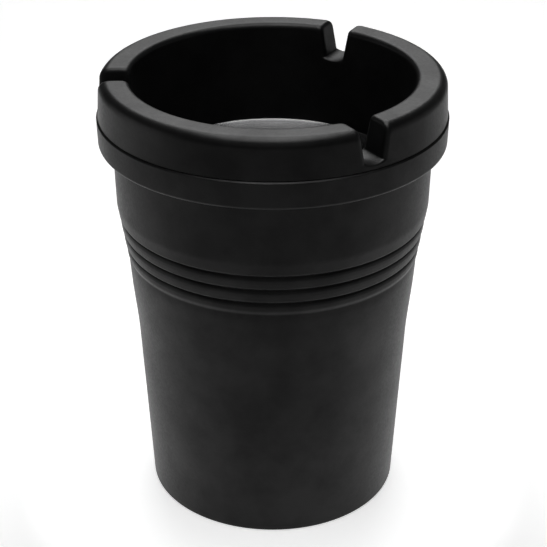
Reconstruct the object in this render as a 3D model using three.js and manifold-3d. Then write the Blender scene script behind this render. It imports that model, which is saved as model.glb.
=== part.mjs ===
// Cup-holder ashtray: a tapered bucket, a plug-in rest ring with three cigarette rests,
// and a loose steel snuffer dish that drops into the ring. Millimetres, +Z up, base at z = 0.
import * as THREE from 'three';
import { mergeVertices } from 'three/addons/utils/BufferGeometryUtils.js';
import Module from 'manifold-3d';

const wasm = await Module();
wasm.setup();

const SEGMENTS = 72;
const FULL_TURN = Math.PI * 2;

// Bucket, outside
const BASE_R = 31.0;
const BASE_CHAMFER = 0.7;
const FOOT_INNER_R = 27.6;
const FOOT_BEVEL = 0.5;
const FOOT_RECESS = 1.2;
const CONE_TOP_R = 33.5;
const CONE_TOP_Z = 45.0;
const BELLY_R = 34.7;
const BELLY_Z = 56.0;
const SHOULDER_R = 35.22;
const SHOULDER_Z = 62.5;
const NECK_R = 37.65;
const NECK_Z = 77.5;
const NECK_TOP_R = 38.05;

// Finger grooves under the neck
const GROOVE_LIP_Z = [74.5, 70.85, 67.2];
const GROOVE_DEPTH = 0.7;
const GROOVE_DROP = 0.55;
const GROOVE_RUNOUT = 2.4;
const SOFT_STEP_Z = 64.4;
const SOFT_STEP_DEPTH = 0.25;
const SOFT_STEP_DROP = 0.9;

// Collar
const COLLAR_R = 41.55;
const COLLAR_BOTTOM_R = 41.35;
const COLLAR_BOTTOM_Z = 92.7;
const COLLAR_TOP_Z = 99.4;
const COLLAR_EDGE = 0.5;
const COLLAR_LIP = 0.4;

// Bucket, inside
const WALL = 2.1;
const FLOOR_WALL = 2.2;
const FLOOR_CORNER = 1.6;
const BORE_R = 35.75;
const BORE_FOOT_R = 35.6;
const BORE_FOOT_Z = 79.0;
const BORE_LEAD_IN = 0.5;

// Rest ring
const RING_BOTTOM_Z = 99.72;
const RING_TOP_Z = 109.0;
const RING_BOTTOM_R = 41.2;
const RING_TOP_R = 40.85;
const RING_OUTER_ROUND = 2.4;
const RING_INNER_R = 33.6;
const RING_INNER_ROUND = 1.4;
const ROUND_STEPS = 5;

// Sleeve that plugs into the bucket
const SLEEVE_ROOT_R = 35.4;
const SLEEVE_FOOT_R = 34.0;
const SLEEVE_FOOT_Z = 80.9;
const SLEEVE_FOOT_CHAMFER = 0.4;
const SLEEVE_SEAT_R = 31.95;
const LEDGE_TOP_Z = 82.7;
const LEDGE_INNER_R = 30.3;

// Hollow under the ring, left solid beside each rest
const HOLLOW_INNER_R = 35.9;
const HOLLOW_OUTER_R = 39.4;
const HOLLOW_ROOF_Z = 106.3;
const HOLLOW_OVERRUN = 2.0;
const REST_BLOCK_HALF = 6.0;

// Cigarette rests
const REST_COUNT = 3;
const REST_PHASE_DEG = 62.8;
const REST_FLOOR_Z = 100.6;
const REST_CORNER_Z = 101.2;
const REST_CORNER_HALF = 2.3;
const REST_TOP_HALF = 3.45;
const REST_EDGE_ROUND = 0.8;
const REST_FLOOR_STEPS = 6;
const REST_INNER_REACH = 28.0;
const REST_OUTER_REACH = 46.0;

// Snuffer dish: a thick rolled edge, then a cup that flattens towards the drop hole
const DISH_EDGE_R = 31.5;
const DISH_EDGE_TOP_Z = 84.4;
const DISH_EDGE_SEAT_Z = 83.05;
const DISH_EDGE_ROUND = 0.4;
const DISH_THICK = 0.7;
const DISH_SLOPE = [[30.9, 84.3], [29.4, 83.7], [27.5, 83.15]];
const DISH_CUP_R = 26.0;
const DISH_CUP_Z = 82.8;
const DISH_CUP_TILT_DEG = 13.0;
const DISH_CUP_STEPS = 5;
const DISH_HOLE_R = 9.8;
const DISH_THROAT_ROUND = 1.0;
const DISH_LIP_Z = 77.4;

const BLACK_PLASTIC = { color: 0x17171a, roughness: 0.55, metalness: 0.0 };
const RING_PLASTIC = { color: 0x1b1b1e, roughness: 0.5, metalness: 0.0 };
const STEEL = { color: 0xa9abae, roughness: 0.32, metalness: 1.0 };

const degToRad = THREE.MathUtils.degToRad;
const lerp = THREE.MathUtils.lerp;

// Turns [radius, height] points about +Z; listed from the base outwards and up, the faces point out.
function lathe(profile) {
  const points = profile.map(([r, z]) => new THREE.Vector2(r, z));
  const geometry = new THREE.LatheGeometry(points, SEGMENTS);
  return geometry.rotateX(Math.PI / 2);
}

function toManifold(geometry) {
  const bare = geometry.clone();
  bare.deleteAttribute('normal');
  bare.deleteAttribute('uv');
  const welded = mergeVertices(bare);
  const mesh = new wasm.Mesh({
    numProp: 3,
    vertProperties: new Float32Array(welded.attributes.position.array),
    triVerts: new Uint32Array(welded.index.array),
  });
  return new wasm.Manifold(mesh);
}

function toGeometry(solid) {
  const mesh = solid.getMesh();
  const geometry = new THREE.BufferGeometry();
  geometry.setAttribute('position', new THREE.BufferAttribute(mesh.vertProperties, 3));
  geometry.setIndex(new THREE.BufferAttribute(mesh.triVerts, 1));
  geometry.computeVertexNormals();
  return geometry;
}

function named(geometry, name, finish) {
  const mesh = new THREE.Mesh(geometry, new THREE.MeshStandardMaterial(finish));
  mesh.name = name;
  return mesh;
}

// Outer radius of the bucket body between the shoulder and the neck.
function shoulderRadius(z) {
  return lerp(SHOULDER_R, NECK_R, (z - SHOULDER_Z) / (NECK_Z - SHOULDER_Z));
}

// Points along a rounded corner between two directions seen from its centre.
function quarterRound(centreR, centreZ, radius, fromDeg, toDeg) {
  const points = [];
  for (let i = 0; i <= ROUND_STEPS; i += 1) {
    const angle = degToRad(lerp(fromDeg, toDeg, i / ROUND_STEPS));
    points.push([centreR + radius * Math.cos(angle), centreZ + radius * Math.sin(angle)]);
  }
  return points;
}

function footProfile() {
  return [
    [0, FOOT_RECESS],
    [FOOT_INNER_R - FOOT_BEVEL, FOOT_RECESS],
    [FOOT_INNER_R, 0],
    [BASE_R - BASE_CHAMFER, 0],
    [BASE_R, BASE_CHAMFER],
  ];
}

function grooveProfile() {
  const softFootZ = SOFT_STEP_Z - SOFT_STEP_DROP;
  const points = [
    [shoulderRadius(softFootZ) - SOFT_STEP_DEPTH, softFootZ],
    [shoulderRadius(SOFT_STEP_Z), SOFT_STEP_Z],
  ];
  for (const lipZ of [...GROOVE_LIP_Z].reverse()) {
    points.push([shoulderRadius(lipZ - GROOVE_RUNOUT), lipZ - GROOVE_RUNOUT]);
    points.push([shoulderRadius(lipZ) - GROOVE_DEPTH, lipZ - GROOVE_DROP]);
    points.push([shoulderRadius(lipZ), lipZ]);
  }
  return points;
}

function collarProfile() {
  return [
    [NECK_R, NECK_Z],
    [NECK_TOP_R, COLLAR_BOTTOM_Z],
    [COLLAR_BOTTOM_R - COLLAR_EDGE, COLLAR_BOTTOM_Z],
    [COLLAR_BOTTOM_R, COLLAR_BOTTOM_Z + COLLAR_EDGE],
    [COLLAR_R, COLLAR_TOP_Z - COLLAR_LIP],
    [COLLAR_R - COLLAR_LIP, COLLAR_TOP_Z],
  ];
}

function cavityProfile() {
  const floorZ = FOOT_RECESS + FLOOR_WALL;
  const cornerR = BASE_R - WALL;
  return [
    [BORE_R + BORE_LEAD_IN, COLLAR_TOP_Z],
    [BORE_R, COLLAR_TOP_Z - BORE_LEAD_IN],
    [BORE_FOOT_R, BORE_FOOT_Z],
    [NECK_R - WALL, NECK_Z - WALL],
    [SHOULDER_R - WALL, SHOULDER_Z],
    [BELLY_R - WALL, BELLY_Z],
    [CONE_TOP_R - WALL, CONE_TOP_Z],
    [cornerR, floorZ + FLOOR_CORNER],
    [cornerR - FLOOR_CORNER, floorZ],
    [0, floorZ],
  ];
}

function bucketGeometry() {
  return lathe([
    ...footProfile(),
    [CONE_TOP_R, CONE_TOP_Z],
    [BELLY_R, BELLY_Z],
    ...grooveProfile(),
    ...collarProfile(),
    ...cavityProfile(),
  ]);
}

function ringProfile() {
  const outerZ = RING_TOP_Z - RING_OUTER_ROUND;
  const innerZ = RING_TOP_Z - RING_INNER_ROUND;
  const loop = [
    [SLEEVE_ROOT_R, RING_BOTTOM_Z],
    [RING_BOTTOM_R, RING_BOTTOM_Z],
    ...quarterRound(RING_TOP_R - RING_OUTER_ROUND, outerZ, RING_OUTER_ROUND, 0, 90),
    ...quarterRound(RING_INNER_R + RING_INNER_ROUND, innerZ, RING_INNER_ROUND, 90, 180),
    [SLEEVE_SEAT_R, LEDGE_TOP_Z],
    [LEDGE_INNER_R, LEDGE_TOP_Z],
    [LEDGE_INNER_R, SLEEVE_FOOT_Z],
    [SLEEVE_FOOT_R - SLEEVE_FOOT_CHAMFER, SLEEVE_FOOT_Z],
    [SLEEVE_FOOT_R, SLEEVE_FOOT_Z + SLEEVE_FOOT_CHAMFER],
  ];
  return [...loop, loop[0]];
}

function hollowProfile() {
  const loop = [
    [HOLLOW_INNER_R, RING_BOTTOM_Z - HOLLOW_OVERRUN],
    [HOLLOW_OUTER_R, RING_BOTTOM_Z - HOLLOW_OVERRUN],
    [HOLLOW_OUTER_R, HOLLOW_ROOF_Z],
    [HOLLOW_INNER_R, HOLLOW_ROOF_Z],
  ];
  return [...loop, loop[0]];
}

// Cross-section of one rest: dished floor, drafted walls, rounded top edges.
function restShape() {
  const shape = new THREE.Shape();
  const above = RING_TOP_Z + HOLLOW_OVERRUN;
  const half = [];
  for (let i = 0; i <= REST_FLOOR_STEPS; i += 1) {
    const across = i / REST_FLOOR_STEPS;
    const rise = (REST_CORNER_Z - REST_FLOOR_Z) * across * across;
    half.push([REST_CORNER_HALF * across, REST_FLOOR_Z + rise]);
  }
  const wallTopZ = RING_TOP_Z - REST_EDGE_ROUND;
  half.push([REST_TOP_HALF, wallTopZ]);
  for (let i = 1; i < ROUND_STEPS; i += 1) {
    const angle = degToRad(lerp(180, 90, i / ROUND_STEPS));
    const x = REST_TOP_HALF + REST_EDGE_ROUND * (1 + Math.cos(angle));
    half.push([x, wallTopZ + REST_EDGE_ROUND * Math.sin(angle)]);
  }
  half.push([REST_TOP_HALF + REST_EDGE_ROUND, RING_TOP_Z]);
  half.push([REST_TOP_HALF + REST_EDGE_ROUND, above]);
  const left = half.slice(1).reverse().map(([x, z]) => [-x, z]);
  const outline = [...left, ...half];
  outline.forEach(([x, z], i) => (i === 0 ? shape.moveTo(x, z) : shape.lineTo(x, z)));
  shape.closePath();
  return shape;
}

function restCutter(azimuth) {
  const depth = REST_OUTER_REACH - REST_INNER_REACH;
  const geometry = new THREE.ExtrudeGeometry(restShape(), { depth, bevelEnabled: false });
  geometry.translate(0, 0, REST_INNER_REACH);
  geometry.rotateX(Math.PI / 2);
  geometry.rotateZ(azimuth + Math.PI / 2);
  return toManifold(geometry);
}

function restBlock(azimuth) {
  const depth = REST_OUTER_REACH - REST_INNER_REACH;
  const height = RING_TOP_Z - SLEEVE_FOOT_Z;
  const geometry = new THREE.BoxGeometry(depth, REST_BLOCK_HALF * 2, height);
  geometry.translate((REST_INNER_REACH + REST_OUTER_REACH) / 2, 0, RING_BOTTOM_Z);
  geometry.rotateZ(azimuth);
  return toManifold(geometry);
}

function ringGeometry() {
  let hollow = toManifold(lathe(hollowProfile()));
  let ring = toManifold(lathe(ringProfile()));
  for (let i = 0; i < REST_COUNT; i += 1) {
    const azimuth = degToRad(REST_PHASE_DEG) + (FULL_TURN * i) / REST_COUNT;
    hollow = hollow.subtract(restBlock(azimuth));
    ring = ring.subtract(restCutter(azimuth));
  }
  return toGeometry(ring.subtract(hollow));
}

// Upper face of the dish from the drop hole out to its edge, as profile points.
function dishFace() {
  const sphere = DISH_CUP_R / Math.sin(degToRad(DISH_CUP_TILT_DEG));
  const innerR = DISH_HOLE_R + DISH_THROAT_ROUND;
  const points = [];
  for (let i = 0; i <= DISH_CUP_STEPS; i += 1) {
    const r = lerp(innerR, DISH_CUP_R, i / DISH_CUP_STEPS);
    const rise = Math.sqrt(sphere ** 2 - DISH_CUP_R ** 2) - Math.sqrt(sphere ** 2 - r ** 2);
    points.push([r, DISH_CUP_Z + rise]);
  }
  return [...points, ...[...DISH_SLOPE].reverse()];
}

function dishProfile() {
  const face = dishFace();
  const [throatR, throatZ] = face[0];
  const seatInnerR = LEDGE_INNER_R;
  const roundR = DISH_EDGE_R - DISH_EDGE_ROUND;
  const under = face.filter(([r]) => r < seatInnerR).map(([r, z]) => [r, z - DISH_THICK]);
  const loop = [
    [DISH_HOLE_R, DISH_LIP_Z],
    [DISH_HOLE_R + DISH_THICK, DISH_LIP_Z],
    [DISH_HOLE_R + DISH_THICK, throatZ - DISH_THICK - DISH_THROAT_ROUND / 2],
    ...under,
    [seatInnerR, DISH_EDGE_SEAT_Z],
    [roundR, DISH_EDGE_SEAT_Z],
    ...quarterRound(roundR, DISH_EDGE_TOP_Z - DISH_EDGE_ROUND, DISH_EDGE_ROUND, 0, 90),
    ...[...face].reverse(),
    [DISH_HOLE_R, throatZ - throatR + DISH_HOLE_R],
  ];
  return [...loop, loop[0]];
}

const part = new THREE.Group();
part.name = 'cup_holder_ashtray';
part.add(named(bucketGeometry(), 'bucket', BLACK_PLASTIC));
part.add(named(ringGeometry(), 'rest_ring', RING_PLASTIC));
part.add(named(lathe(dishProfile()), 'snuffer_dish', STEEL));

export default part;
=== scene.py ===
"""Cup-holder ashtray: finished surfaces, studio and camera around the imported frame. Metres, +Z up."""
import math
import bpy
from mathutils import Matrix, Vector


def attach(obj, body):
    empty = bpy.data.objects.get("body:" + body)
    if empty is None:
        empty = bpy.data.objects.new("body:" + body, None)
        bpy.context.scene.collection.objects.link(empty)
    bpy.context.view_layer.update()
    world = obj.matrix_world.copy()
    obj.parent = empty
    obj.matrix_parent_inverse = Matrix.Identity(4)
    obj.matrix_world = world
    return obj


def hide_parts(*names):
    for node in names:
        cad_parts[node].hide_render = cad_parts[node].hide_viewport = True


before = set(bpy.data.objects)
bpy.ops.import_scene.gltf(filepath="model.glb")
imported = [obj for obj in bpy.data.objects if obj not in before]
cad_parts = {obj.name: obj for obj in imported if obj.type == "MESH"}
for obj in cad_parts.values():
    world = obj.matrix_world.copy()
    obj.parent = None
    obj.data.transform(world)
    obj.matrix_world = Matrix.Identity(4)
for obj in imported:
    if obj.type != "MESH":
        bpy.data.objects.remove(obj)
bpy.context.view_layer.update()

MM = 0.001  # the pieces are drawn in millimetres
FULL_TURN = 2 * math.pi
CORNER_SHARE = 0.47  # how much of a straight run one rounded corner can take


# ---------------------------------------------------------------- profile helpers

def rounded(corners, closed=True, steps=7, support=0.12):
    """Profile points (r, z) through corners (r, z, fillet), with each corner turned into an arc.
    Where there is room, one more point beside each arc keeps the smooth shading off the straight runs."""
    out = []
    n = len(corners)
    for i, (r, z, fillet) in enumerate(corners):
        if not closed and i in (0, n - 1):
            out.append((r, z))
            continue
        pr, pz, _ = corners[i - 1]
        nr, nz, _ = corners[(i + 1) % n]
        ax, az, bx, bz = pr - r, pz - z, nr - r, nz - z
        la, lb = math.hypot(ax, az), math.hypot(bx, bz)
        ax, az, bx, bz = ax / la, az / la, bx / lb, bz / lb
        angle = math.acos(max(-1.0, min(1.0, ax * bx + az * bz)))
        if fillet <= 0 or angle > math.pi - 1e-3:
            out.append((r, z))
            continue
        cut = min(fillet / math.tan(angle / 2), CORNER_SHARE * la, CORNER_SHARE * lb)
        radius = cut * math.tan(angle / 2)
        mx, mz = ax + bx, az + bz
        ml = math.hypot(mx, mz)
        reach = radius / math.sin(angle / 2)
        cx, cz = r + mx / ml * reach, z + mz / ml * reach
        start = math.atan2(z + az * cut - cz, r + ax * cut - cx)
        end = math.atan2(z + bz * cut - cz, r + bx * cut - cx)
        sweep = (end - start + math.pi) % FULL_TURN - math.pi
        if cut + 1.5 * support < 0.5 * la:
            out.append((r + ax * (cut + support), z + az * (cut + support)))
        for k in range(steps + 1):
            t = start + sweep * k / steps
            out.append((cx + radius * math.cos(t), cz + radius * math.sin(t)))
        if cut + 1.5 * support < 0.5 * lb:
            out.append((r + bx * (cut + support), z + bz * (cut + support)))
    return out


def subdivided(points, longest, closed=True):
    """The same profile with no straight run longer than `longest`."""
    out = []
    last = len(points) if closed else len(points) - 1
    for i in range(last):
        (r0, z0), (r1, z1) = points[i], points[(i + 1) % len(points)]
        n = max(1, math.ceil(math.hypot(r1 - r0, z1 - z0) / longest))
        out += [(r0 + (r1 - r0) * k / n, z0 + (z1 - z0) * k / n) for k in range(n)]
    if not closed:
        out.append(points[-1])
    return out


def make_object(name, verts, faces):
    mesh = bpy.data.meshes.new(name)
    mesh.from_pydata([(x * MM, y * MM, z * MM) for x, y, z in verts], [], faces)
    mesh.validate()
    mesh.polygons.foreach_set("use_smooth", [True] * len(mesh.polygons))
    mesh.update()
    obj = bpy.data.objects.new(name, mesh)
    bpy.context.scene.collection.objects.link(obj)
    return obj


def turned(name, profile, segments, poles=False):
    """A body of revolution. With poles the profile starts and ends on the axis."""
    verts, faces = [], []
    ring = profile[1:-1] if poles else profile
    m = len(ring)
    for j in range(segments):
        a = FULL_TURN * j / segments
        verts += [(r * math.cos(a), r * math.sin(a), z) for r, z in ring]
    rows = m - 1 if poles else m
    for j in range(segments):
        k = (j + 1) % segments
        for i in range(rows):
            i2 = (i + 1) % m
            faces.append((j * m + i, k * m + i, k * m + i2, j * m + i2))
    if poles:
        low, high = len(verts), len(verts) + 1
        verts += [(0, 0, profile[0][1]), (0, 0, profile[-1][1])]
        for j in range(segments):
            k = (j + 1) % segments
            faces.append((low, k * m, j * m))
            faces.append((high, j * m + m - 1, k * m + m - 1))
    return make_object(name, verts, faces)


# ---------------------------------------------------------------- bucket

FOOT_RECESS = 1.2
GATE_MARK = [(1.5, FOOT_RECESS), (1.7, 0.75), (2.6, 0.75), (2.9, FOOT_RECESS)]
FOOT_R, FOOT_BEVEL, BASE_R = 27.55, 0.55, 31.0
CONE = (33.5, 45.0)
BELLY = (34.7, 56.0)
BELLY_TOP = (35.15, 61.8)
SHOULDER = (35.22, 62.5)
NECK = (37.65, 77.5)
NECK_TOP_R = 38.05
SOFT_STEP_Z, SOFT_STEP_DROP, SOFT_STEP_DEPTH = 64.4, 0.9, 0.25
GROOVE_LIPS = (67.2, 70.85, 74.5)
# One groove, from its soft start up to its sharp lip: (depth, drop below the lip, fillet).
GROOVE = [(0.38, 2.4, 2.0), (0.31, 1.6, 1.5), (0.42, 1.0, 0.6), (0.75, 0.58, 0.12), (0.0, 0.0, 0.65)]
COLLAR_R, COLLAR_DRAFT, COLLAR_LOW_Z, COLLAR_TOP_Z = 41.55, 0.2, 92.7, 99.4
COLLAR_BREAK_IN, COLLAR_BREAK_DOWN = 0.5, 0.34
BORE_R, LEAD_IN, LEAD_IN_DEPTH = 35.74, 0.51, 0.7
INSIDE = [(35.6, 79.0, 8), (35.4, 75.4, 8), (33.0, 62.5, 30), (31.3, 46.0, 60)]
INSIDE_FLOOR_R, INSIDE_FLOOR_Z = 28.95, 3.4
LONGEST_RUN = 2.0
BUCKET_SEGMENTS = 288


def shoulder_radius(z):
    """Outside of the bucket where the grooves are cut."""
    return SHOULDER[0] + (NECK[0] - SHOULDER[0]) * (z - SHOULDER[1]) / (NECK[1] - SHOULDER[1])


def bucket_profile():
    """From the middle of the underside up the outside, over the collar and down the inside."""
    corners = [(0.0, FOOT_RECESS, 0)]
    corners += [(r, z, 0.1) for r, z in GATE_MARK]
    corners += [
        (FOOT_R - FOOT_BEVEL, FOOT_RECESS, 0.45), (FOOT_R, 0.0, 0.3), (BASE_R, 0.0, 0.75),
        (*CONE, 120), (*BELLY, 120), (*BELLY_TOP, 20),
    ]
    step_foot = SOFT_STEP_Z - SOFT_STEP_DROP
    corners += [
        (shoulder_radius(step_foot) - SOFT_STEP_DEPTH, step_foot, 1.2),
        (shoulder_radius(SOFT_STEP_Z), SOFT_STEP_Z, 1.6),
    ]
    for lip in GROOVE_LIPS:
        corners += [(shoulder_radius(lip) - depth, lip - drop, fillet) for depth, drop, fillet in GROOVE]
    corners += [
        (*NECK, 10), (NECK_TOP_R, COLLAR_LOW_Z, 0.5), (COLLAR_R - COLLAR_DRAFT, COLLAR_LOW_Z, 0.8),
        (COLLAR_R, COLLAR_TOP_Z - COLLAR_BREAK_DOWN, 0.15), (COLLAR_R - COLLAR_BREAK_IN, COLLAR_TOP_Z, 0.1),
        (BORE_R + LEAD_IN, COLLAR_TOP_Z, 0.2), (BORE_R, COLLAR_TOP_Z - LEAD_IN_DEPTH, 0.3),
    ]
    corners += INSIDE + [(INSIDE_FLOOR_R, INSIDE_FLOOR_Z, 2.4), (0.0, INSIDE_FLOOR_Z, 0)]
    return subdivided(rounded(corners, closed=False), LONGEST_RUN, closed=False)


# ---------------------------------------------------------------- rest ring

TOP_Z, BOTTOM_Z = 109.0, 99.52
OUT_LOW, OUT_HIGH, OUT_ROUND = 41.2, 40.85, 2.4
IN_LOW, IN_HIGH, IN_ROUND = 31.95, 33.6, 1.4
LEDGE_Z, LEDGE_R, LEDGE_CORNER = 82.7, 30.3, 0.35
SLEEVE_ROOT_R, SLEEVE_FOOT_R, SLEEVE_FOOT_Z = 35.4, 34.0, 80.9
HOLLOW_OUT, HOLLOW_IN, ROOF_Z = 39.4, 35.9, 106.3
ROOF_BREAK, MOUTH_STEP = 0.1, 0.12
FOOT_BAND = 0.3  # height of the wall's lowest row, and of what is left of the hollow under a rest
REST_COUNT = 3
REST_PHASE = 62.8
REST_FLOOR, REST_CORNER, REST_HALF, REST_TOP_HALF = 100.6, 101.2, 2.3, 3.6
REST_TOP_ROUND, REST_CORNER_ROUND, REST_MARGIN = 1.1, 0.5, 4.0
REST_FLOOR_STEPS = 6
REST_BLOCK_HALF = 6.0  # half of the solid block under a rest, with the hollow on both sides of it
BLOCK_CLEAR = 0.3  # no other column stands this close to the block's side
FLARE = 1.1  # how far a rest's walls open where they meet the faces of the ring
CUT_EDGE, CUT_EDGE_REACH, LEAST_EDGE = 0.38, 0.8, 0.015
REF_R = 37.5  # offsets along the ring are measured at this radius
OUTER_ROWS, INNER_ROWS, EDGE_ROWS, FLAT_ROWS, ROUND_ROWS = 34, 36, 6, 15, 28
INNER_ROWS_LOW_Z = 99.6
SLEEVE_ROWS = (98.6, 96, 93, 90, 87, 85)
PLAIN_COLUMNS = 30  # from the neighbourhood of a rest to the middle of the plain stretch
NEAR_COLUMNS, NEAR_SPACING, NEAR_GROWTH = 5, 0.5, 0.12
# Offsets from a rest's middle between which a column turns to face the axis, and between which the
# stand-back of the rest's wall comes in and goes out again.
TURN_REACH, PUSH_IN_REACH, PUSH_OUT_REACH = (4.6, 9.0), (0.0, 2.0), (4.4, 8.5)


def outer_radius(z):
    arc_z = TOP_Z - OUT_ROUND
    if z <= arc_z:
        return OUT_LOW + (OUT_HIGH - OUT_LOW) * (z - BOTTOM_Z) / (arc_z - BOTTOM_Z)
    return OUT_HIGH - OUT_ROUND + math.sqrt(max(0.0, OUT_ROUND ** 2 - (z - arc_z) ** 2))


def inner_radius(z):
    arc_z = TOP_Z - IN_ROUND
    if z <= arc_z:
        return IN_LOW + (IN_HIGH - IN_LOW) * (z - LEDGE_Z) / (arc_z - LEDGE_Z)
    return IN_HIGH + IN_ROUND - math.sqrt(max(0.0, IN_ROUND ** 2 - (z - arc_z) ** 2))


def rest_half_section():
    """(offset, height) from the middle of a rest's floor out to the flat top of the ring."""
    shares = [k / REST_FLOOR_STEPS for k in range(REST_FLOOR_STEPS)]
    corners = [(REST_HALF * u, REST_FLOOR + (REST_CORNER - REST_FLOOR) * u ** 2, 0) for u in shares]
    corners += [(REST_HALF, REST_CORNER, REST_CORNER_ROUND), (REST_TOP_HALF, TOP_Z, REST_TOP_ROUND)]
    corners += [(REST_TOP_HALF + REST_MARGIN, TOP_Z, 0)]
    return subdivided(rounded(corners, closed=False, steps=9, support=0.1), 0.45, closed=False)


def resampled(path, count, power=1.0):
    """`count` points spaced along the path, evenly or, with a higher power, closer at its start."""
    lengths = [0.0]
    for (r0, z0), (r1, z1) in zip(path, path[1:]):
        lengths.append(lengths[-1] + math.hypot(r1 - r0, z1 - z0))
    out, k = [], 0
    for i in range(count):
        want = lengths[-1] * (i / (count - 1)) ** power
        while k < len(path) - 2 and lengths[k + 1] < want:
            k += 1
        span = lengths[k + 1] - lengths[k]
        t = 0.0 if span == 0 else (want - lengths[k]) / span
        (r0, z0), (r1, z1) = path[k], path[k + 1]
        out.append((r0 + (r1 - r0) * t, z0 + (z1 - z0) * t))
    return out


def wall_path(radius_at, low, high, arc_z):
    """The wall from low up to high, closely stepped where it turns over into the flat top."""
    if high <= arc_z:
        return [(radius_at(low), low), (radius_at(high), high)]
    span = TOP_Z - arc_z
    top = math.asin(min(1.0, (high - arc_z) / span))
    heights = [arc_z + span * math.sin(top * k / ROUND_ROWS) for k in range(ROUND_ROWS + 1)]
    return [(radius_at(low), low)] + [(radius_at(z), z) for z in heights]


def bend(a, corner, b, count):
    """A smooth turn from a to b round the corner."""
    out = []
    for k in range(count):
        t = k / (count - 1)
        u = 1 - t
        out.append(tuple(u * u * a[i] + 2 * u * t * corner[i] + t * t * b[i] for i in (0, 1)))
    return out


def ring_column(height, roof):
    """One section of the ring, its top cut down to `height` and its hollow reaching up to `roof`.
    Each point is (r, z, on_top)."""
    soft = CUT_EDGE * max(0.0, min(1.0, (TOP_Z - height) / CUT_EDGE_REACH)) + LEAST_EDGE
    shut = height - soft
    low = BOTTOM_Z + FOOT_BAND
    outer = resampled(wall_path(outer_radius, low, shut, TOP_Z - OUT_ROUND), OUTER_ROWS)
    inner_wall = wall_path(inner_radius, INNER_ROWS_LOW_Z, shut, TOP_Z - IN_ROUND)
    inner = resampled(inner_wall[::-1], INNER_ROWS, 1.5)
    inner += [(inner_radius(z), z) for z in (*SLEEVE_ROWS, LEDGE_Z + LEDGE_CORNER)]
    ro, ri = outer_radius(height), inner_radius(height)
    over = bend(outer[-1], (ro, height), (ro - soft, height), EDGE_ROWS)
    under = bend((ri + soft, height), (ri, height), inner[0], EDGE_ROWS)
    flat = [(ro - soft + (ri - ro + 2 * soft) * k / FLAT_ROWS, height) for k in range(1, FLAT_ROWS)]
    foot = rounded([(outer_radius(low), low, 0), (OUT_LOW, BOTTOM_Z, 0.25), (HOLLOW_OUT, BOTTOM_Z, 0)],
                   closed=False, steps=4)[1:-1]
    side = (BOTTOM_Z, BOTTOM_Z + MOUTH_STEP, (BOTTOM_Z + roof) / 2, roof - ROOF_BREAK)
    hollow = [(HOLLOW_IN, z) for z in side]
    hollow += [(HOLLOW_IN + ROOF_BREAK, roof), ((HOLLOW_IN + HOLLOW_OUT) / 2, roof)]
    hollow += [(HOLLOW_OUT - ROOF_BREAK, roof)] + [(HOLLOW_OUT, z) for z in side[::-1]]
    sleeve = rounded([(*inner[-1], 0), (IN_LOW, LEDGE_Z, 0.2), (LEDGE_R, LEDGE_Z, 0.3),
                      (LEDGE_R, SLEEVE_FOOT_Z, 0.3), (SLEEVE_FOOT_R, SLEEVE_FOOT_Z, 0.6),
                      (SLEEVE_ROOT_R, BOTTOM_Z, 0)], closed=False, steps=5)
    sleeve = subdivided(sleeve[1:], 3.0, closed=False)
    column = [(r, z, False) for r, z in outer]
    column += [(r, z, True) for r, z in over[1:] + flat + under[:-1]]
    column += [(r, z, False) for r, z in inner + sleeve + hollow + foot[::-1]]
    return column


def flare(r, z):
    """How far the rest's wall stands back where it meets the outer and inner faces of the ring."""
    near = min(outer_radius(z) - r, r - inner_radius(z))
    near = max(0.0, min(FLARE, near))
    return FLARE - math.sqrt(max(0.0, FLARE ** 2 - (FLARE - near) ** 2))


def smooth(a, b, x):
    """0 below a, 1 above b, and an even S between them."""
    t = max(0.0, min(1.0, (x - a) / (b - a)))
    return t * t * (3 - 2 * t)


def ring_columns():
    """(offset from the rest's middle, height, hollow roof) for every section of one rest's sector."""
    half = rest_half_section()
    shut = BOTTOM_Z + FOOT_BAND
    side = [(t, h, shut) for t, h in half if t < REST_BLOCK_HALF - BLOCK_CLEAR]
    side += [(REST_BLOCK_HALF, TOP_Z, shut), (REST_BLOCK_HALF + MOUTH_STEP, TOP_Z, ROOF_Z)]
    edge = half[-1][0]
    near = [NEAR_SPACING * k * (1 + NEAR_GROWTH * k) for k in range(1, NEAR_COLUMNS + 1)]
    side += [(edge + t, TOP_Z, ROOF_Z) for t in near]
    start = math.asin(side[-1][0] / REF_R)
    step = (math.pi / REST_COUNT - start) / PLAIN_COLUMNS
    side += [(REF_R * math.sin(start + step * k), TOP_Z, ROOF_Z) for k in range(1, PLAIN_COLUMNS + 1)]
    left = [(-t, h, roof) for t, h, roof in side[:0:-1]][1:]
    return left + side


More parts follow.
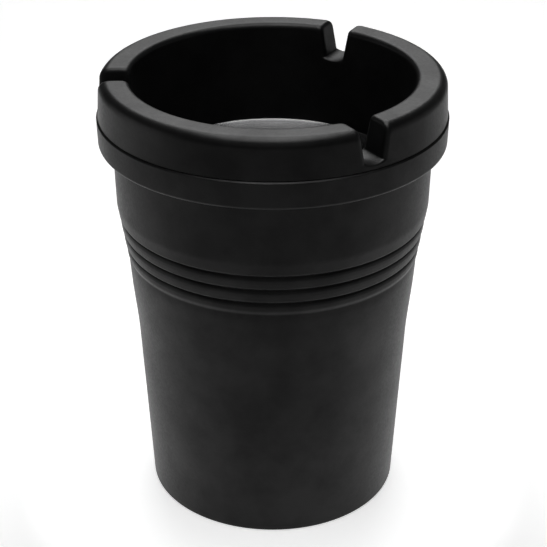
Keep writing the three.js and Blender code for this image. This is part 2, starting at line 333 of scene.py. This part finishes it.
def ring_mesh():
    """The sections joined round the ring. Near a rest they stand parallel to its middle, and elsewhere
    they point to the axis, with an even change between the two."""
    columns = []
    for n in range(REST_COUNT):
        middle = math.radians(REST_PHASE) + n * FULL_TURN / REST_COUNT
        columns += [(middle, t, h, roof) for t, h, roof in ring_columns()]
    verts, faces = [], []
    sections = {}
    for middle, t, height, roof in columns:
        key = (round(height, 6), roof)
        if key not in sections:
            sections[key] = ring_column(height, roof)
        across = abs(t)
        hold = 1 - smooth(*TURN_REACH, across)
        push = smooth(*PUSH_IN_REACH, across) * (1 - smooth(*PUSH_OUT_REACH, across))
        for r, z, on_top in sections[key]:
            spread = flare(r, z) if on_top else FLARE
            offset = math.copysign(across + push * spread, t)
            straight = math.asin(max(-1.0, min(1.0, offset / r)))
            radial = math.asin(max(-1.0, min(1.0, offset / REF_R)))
            a = middle + hold * straight + (1 - hold) * radial
            verts.append((r * math.cos(a), r * math.sin(a), z))
    count = len(columns)
    m = len(verts) // count
    for j in range(count):
        k = (j + 1) % count
        for i in range(m):
            i2 = (i + 1) % m
            faces.append((j * m + i, k * m + i, k * m + i2, j * m + i2))
    return make_object("rest_ring_skin", verts, faces)


# ---------------------------------------------------------------- dish

CUP_R, CUP_Z, CUP_TILT = 26.0, 82.8, 13.0
CUP_STEPS = 14
THROAT_R, THROAT_DROP, THROAT_ROUND = 10.9, 0.25, 1.2
HOLE_R, TUBE_R, TUBE_Z = 9.8, 10.5, 77.4
SLOPE = [(30.88, 84.28), (30.2, 84.02), (29.4, 83.74), (28.5, 83.44), (27.5, 83.16)]
RIM_R, RIM_SEAT_Z, RIM_TOP_Z = 31.5, 83.05, 84.4
RIM_SEAT_IN, RIM_TOP_IN = 1.4, 0.4
SHEET, SHEET_SLACK = 0.7, 0.05
DISH_SEGMENTS = 256


def cup_height(r):
    """Upper face of the cup, a very shallow part of a sphere."""
    sphere = CUP_R / math.sin(math.radians(CUP_TILT))
    return CUP_Z + math.sqrt(sphere ** 2 - CUP_R ** 2) - math.sqrt(sphere ** 2 - r ** 2)


def dish_profile():
    """The rolled edge on the ring's ledge, the slope, the cup and the short tube of the drop hole."""
    radii = [THROAT_R + (CUP_R - THROAT_R) * k / CUP_STEPS for k in range(CUP_STEPS + 1)]
    throat_z = cup_height(THROAT_R)
    corners = [(HOLE_R, TUBE_Z, 0.3), (TUBE_R, TUBE_Z, 0.3), (TUBE_R, throat_z - SHEET - SHEET_SLACK, 0.5)]
    corners += [(r, cup_height(r) - SHEET, 0) for r in radii[1:]]
    corners += [(r, z - SHEET, 0) for r, z in SLOPE[:1:-1]]
    corners += [(RIM_R - RIM_SEAT_IN, RIM_SEAT_Z, 0.3), (RIM_R, RIM_SEAT_Z, 0.35)]
    corners += [(RIM_R, RIM_TOP_Z, 0.4), (RIM_R - RIM_TOP_IN, RIM_TOP_Z, 0.3)]
    corners += [(r, z, 0) for r, z in SLOPE]
    corners += [(r, cup_height(r), 0) for r in radii[::-1]]
    corners += [(HOLE_R, throat_z - THROAT_DROP, THROAT_ROUND)]
    return subdivided(rounded(corners, steps=6, support=0.1), 1.2)


# ---------------------------------------------------------------- materials

CLOUD_SCALE, SPECK_SCALE, GRAIN_SCALE = 90.0, 1400.0, 3600.0
SPECK_HEIGHT, GRAIN_HEIGHT = 0.00006, 0.00002
PLASTIC_DARK, PLASTIC_LIGHT = (0.0014, 0.0014, 0.0015, 1), (0.0024, 0.0024, 0.0025, 1)
PLASTIC_IOR = 1.29
STEEL_DARK, STEEL_LIGHT = (0.205, 0.205, 0.21, 1), (0.32, 0.32, 0.32, 1)
SPIN_SCALE, SPIN_HEIGHT = 2600.0, 0.00003
SMEAR_SCALE = 120.0


def shader(name):
    mat = bpy.data.materials.new(name)
    mat.use_nodes = True
    tree = mat.node_tree
    return mat, tree, tree.nodes["Principled BSDF"]


def node(tree, kind, **values):
    """A new node with some sockets and settings filled in by name."""
    made = tree.nodes.new(kind)
    for key, value in values.items():
        if key in made.inputs:
            made.inputs[key].default_value = value
        else:
            setattr(made, key, value)
    return made


def noise(tree, coords, scale, detail=2.0, rough=0.5):
    made = node(tree, "ShaderNodeTexNoise", Scale=scale, Detail=detail, Roughness=rough)
    tree.links.new(coords, made.inputs["Vector"])
    return made.outputs["Fac"]


def ramp(tree, value, stops):
    """The value turned into grey levels or colours, from (place, level) stops."""
    made = node(tree, "ShaderNodeValToRGB")
    elements = made.color_ramp.elements
    while len(elements) < len(stops):
        elements.new(0.5)
    for element, (place, level) in zip(elements, stops):
        element.position = place
        element.color = level if isinstance(level, tuple) else (level, level, level, 1)
    tree.links.new(value, made.inputs["Fac"])
    return made.outputs["Color"]


def bump(tree, height, strength, distance, normal=None):
    made = node(tree, "ShaderNodeBump", Strength=strength, Distance=distance)
    tree.links.new(height, made.inputs["Height"])
    if normal is not None:
        tree.links.new(normal, made.inputs["Normal"])
    return made.outputs["Normal"]


def black_plastic(name, rough_low, rough_high, grain):
    """Satin moulded plastic: faint clouds in its colour and shine, and a fine grain."""
    mat, tree, bsdf = shader(name)
    coords = node(tree, "ShaderNodeTexCoord").outputs["Object"]
    cloud = noise(tree, coords, CLOUD_SCALE, 4.0, 0.6)
    speck = noise(tree, coords, SPECK_SCALE, 3.0, 0.6)
    fine = noise(tree, coords, GRAIN_SCALE, 2.0, 0.5)
    tint = ramp(tree, cloud, [(0.3, PLASTIC_DARK), (0.75, PLASTIC_LIGHT)])
    tree.links.new(tint, bsdf.inputs["Base Color"])
    tree.links.new(ramp(tree, speck, [(0.25, rough_low), (0.8, rough_high)]), bsdf.inputs["Roughness"])
    tree.links.new(ramp(tree, cloud, [(0.35, 0.41), (0.65, 0.59)]), bsdf.inputs["Specular IOR Level"])
    coarse = bump(tree, speck, grain, SPECK_HEIGHT)
    tree.links.new(bump(tree, fine, grain, GRAIN_HEIGHT, coarse), bsdf.inputs["Normal"])
    bsdf.inputs["IOR"].default_value = PLASTIC_IOR
    return mat


def spun_steel(name):
    """Steel with fine rings about the axis, which stretch its highlights into a fan."""
    mat, tree, bsdf = shader(name)
    coords = node(tree, "ShaderNodeTexCoord").outputs["Object"]
    split = node(tree, "ShaderNodeSeparateXYZ")
    tree.links.new(coords, split.inputs[0])
    flat = node(tree, "ShaderNodeCombineXYZ")
    tree.links.new(split.outputs["X"], flat.inputs["X"])
    tree.links.new(split.outputs["Y"], flat.inputs["Y"])
    from_axis = node(tree, "ShaderNodeVectorMath", operation="LENGTH")
    tree.links.new(flat.outputs[0], from_axis.inputs[0])
    rings = node(tree, "ShaderNodeTexNoise", Scale=SPIN_SCALE, Detail=3.0, noise_dimensions="1D")
    tree.links.new(from_axis.outputs["Value"], rings.inputs["W"])
    marks = rings.outputs["Fac"]
    smear = noise(tree, coords, SMEAR_SCALE, 3.0)
    tint = ramp(tree, marks, [(0.3, STEEL_DARK), (0.75, STEEL_LIGHT)])
    tree.links.new(tint, bsdf.inputs["Base Color"])
    tree.links.new(ramp(tree, smear, [(0.3, 0.19), (0.75, 0.25)]), bsdf.inputs["Roughness"])
    tree.links.new(bump(tree, marks, 0.35, SPIN_HEIGHT), bsdf.inputs["Normal"])
    around = node(tree, "ShaderNodeTangent", direction_type="RADIAL", axis="Z")
    tree.links.new(around.outputs[0], bsdf.inputs["Tangent"])
    bsdf.inputs["Metallic"].default_value = 1.0
    bsdf.inputs["Anisotropic"].default_value = 0.85
    bsdf.inputs["Anisotropic Rotation"].default_value = 0.25
    return mat


# ---------------------------------------------------------------- pieces

bucket = turned("bucket_skin", bucket_profile(), BUCKET_SEGMENTS, poles=True)
bucket.data.materials.append(black_plastic("bucket_plastic", 0.36, 0.50, 0.16))
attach(bucket, "bucket")
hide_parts("bucket")

ring = ring_mesh()
ring.data.materials.append(black_plastic("ring_plastic", 0.32, 0.44, 0.12))
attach(ring, "rest_ring")
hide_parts("rest_ring")

dish = turned("snuffer_dish_skin", dish_profile(), DISH_SEGMENTS)
dish.data.materials.append(spun_steel("dish_steel"))
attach(dish, "snuffer_dish")
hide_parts("snuffer_dish")


# ---------------------------------------------------------------- studio

# Painted light on the floor: it glows softly near the base, where it fills the object's shadow, and in a
# lane behind the object that widens away from the camera.
BASE_GLOW, BASE_GLOW_FADE = 0.6, (0.05, 0.085)
LANE_GLOW, LANE_START = 0.4, (-0.13, 0.03)
LANE_LEFT, LANE_RIGHT, LANE_WIDENING = (-0.17, -0.09), (0.08, 0.15), 0.155
FLOOR_HALF, FLOOR_Z = 4000, -0.05
FLOOR_DARK, FLOOR_LIGHT = (0.86, 0.86, 0.86, 1), (0.88, 0.88, 0.88, 1)
AIR_LIGHT = 0.07

# Each panel: name, place, what it faces, size, brightness of its face.
PANELS = [
    ("softbox_over_back", (0, 0.42, 0.62), (0, 0.12, 0), (0.5, 0.5), 2.25),
    ("panel_back", (0, 1.3, 0.93), (0, 0, 0.1), (0.9, 0.9), 1.85),
    ("softbox_top", (0, -0.026, 0.33), (0, -0.026, 0), (0.17, 0.2), 5.4),
    ("panel_front", (0, -1.4, 1.0), (0, 0, 0.1), (1.8, 1.2), 0.3),
    ("panel_left", (-0.40, 0.0, 0.11), (0, 0, 0.05), (0.4, 0.2), 0.6),
    ("panel_right", (0.40, 0.0, 0.11), (0, 0, 0.05), (0.4, 0.2), 0.3),
]

CAMERA_PLACE = (0.00018, -0.35906, 0.24489)
CAMERA_DIP = 27.785
LENS = 107.5


def mapped(tree, value, reach, levels):
    """A smooth change from the first level to the second across the given reach."""
    made = node(tree, "ShaderNodeMapRange", interpolation_type="SMOOTHSTEP")
    for socket, number in zip(("From Min", "From Max", "To Min", "To Max"), (*reach, *levels)):
        made.inputs[socket].default_value = number
    tree.links.new(value, made.inputs["Value"])
    return made.outputs["Result"]


def combined(tree, operation, first, second):
    """The result of one operation on two values, each of them a socket or a plain number."""
    made = node(tree, "ShaderNodeMath", operation=operation)
    for socket, source in zip(made.inputs, (first, second)):
        if isinstance(source, float):
            socket.default_value = source
        else:
            tree.links.new(source, socket)
    return made.outputs[0]


def floor_material():
    mat, tree, bsdf = shader("floor_and_painted_glow")
    coords = node(tree, "ShaderNodeTexCoord").outputs["Object"]
    cloud = noise(tree, coords, 2.0, 2.0)
    tree.links.new(ramp(tree, cloud, [(0.3, FLOOR_DARK), (0.7, FLOOR_LIGHT)]), bsdf.inputs["Base Color"])
    bsdf.inputs["Roughness"].default_value = 0.9
    bsdf.inputs["IOR"].default_value = 1.2
    # Painted light: the emission below is a glow painted on the floor, a pool of light near the base and a
    # lane behind the object.
    from_base = node(tree, "ShaderNodeVectorMath", operation="LENGTH")
    tree.links.new(coords, from_base.inputs[0])
    near = mapped(tree, from_base.outputs["Value"], BASE_GLOW_FADE, (BASE_GLOW, 0.0))
    split = node(tree, "ShaderNodeSeparateXYZ")
    tree.links.new(coords, split.inputs[0])
    across, along = split.outputs["X"], split.outputs["Y"]
    behind = mapped(tree, along, LANE_START, (0.0, LANE_GLOW))
    widening = combined(tree, "MULTIPLY", along, LANE_WIDENING)
    right = mapped(tree, combined(tree, "SUBTRACT", across, widening), LANE_RIGHT, (1.0, 0.0))
    left = mapped(tree, combined(tree, "ADD", across, widening), LANE_LEFT, (0.0, 1.0))
    lane = combined(tree, "MULTIPLY", behind, combined(tree, "MULTIPLY", left, right))
    glow = combined(tree, "MAXIMUM", near, lane)
    bsdf.inputs["Emission Color"].default_value = (1, 1, 1, 1)
    tree.links.new(glow, bsdf.inputs["Emission Strength"])
    return mat


def area_light(name, place, aim, size, radiance):
    """A soft panel; radiance is its own brightness, so the power follows from its size."""
    light = bpy.data.lights.new(name, "AREA")
    light.shape = "RECTANGLE"
    light.size, light.size_y = size
    light.energy = radiance * math.pi * size[0] * size[1]
    obj = bpy.data.objects.new(name, light)
    bpy.context.scene.collection.objects.link(obj)
    obj.location = place
    direction = [a - p for a, p in zip(aim, place)]
    obj.rotation_euler = Vector(direction).to_track_quat("-Z", "Y").to_euler()
    obj.visible_camera = False


floor_corners = [(FLOOR_HALF * x, FLOOR_HALF * y, FLOOR_Z) for x, y in ((-1, -1), (1, -1), (1, 1), (-1, 1))]
floor = make_object("floor", floor_corners, [(0, 1, 2, 3)])
floor.data.materials.append(floor_material())

world = bpy.data.worlds.new("studio_air")
world.use_nodes = True
world.node_tree.nodes["Background"].inputs["Color"].default_value = (1, 1, 1, 1)
world.node_tree.nodes["Background"].inputs["Strength"].default_value = AIR_LIGHT
bpy.context.scene.world = world

for panel in PANELS:
    area_light(*panel)

camera = bpy.data.cameras.new("camera")
camera.lens = LENS
camera.sensor_width = 36.0
camera.clip_start = 0.01
view = bpy.data.objects.new("camera", camera)
bpy.context.scene.collection.objects.link(view)
view.location = CAMERA_PLACE
view.rotation_euler = (math.radians(90 - CAMERA_DIP), 0, 0)
bpy.context.scene.camera = view
bpy.context.scene.view_settings.view_transform = "Standard"
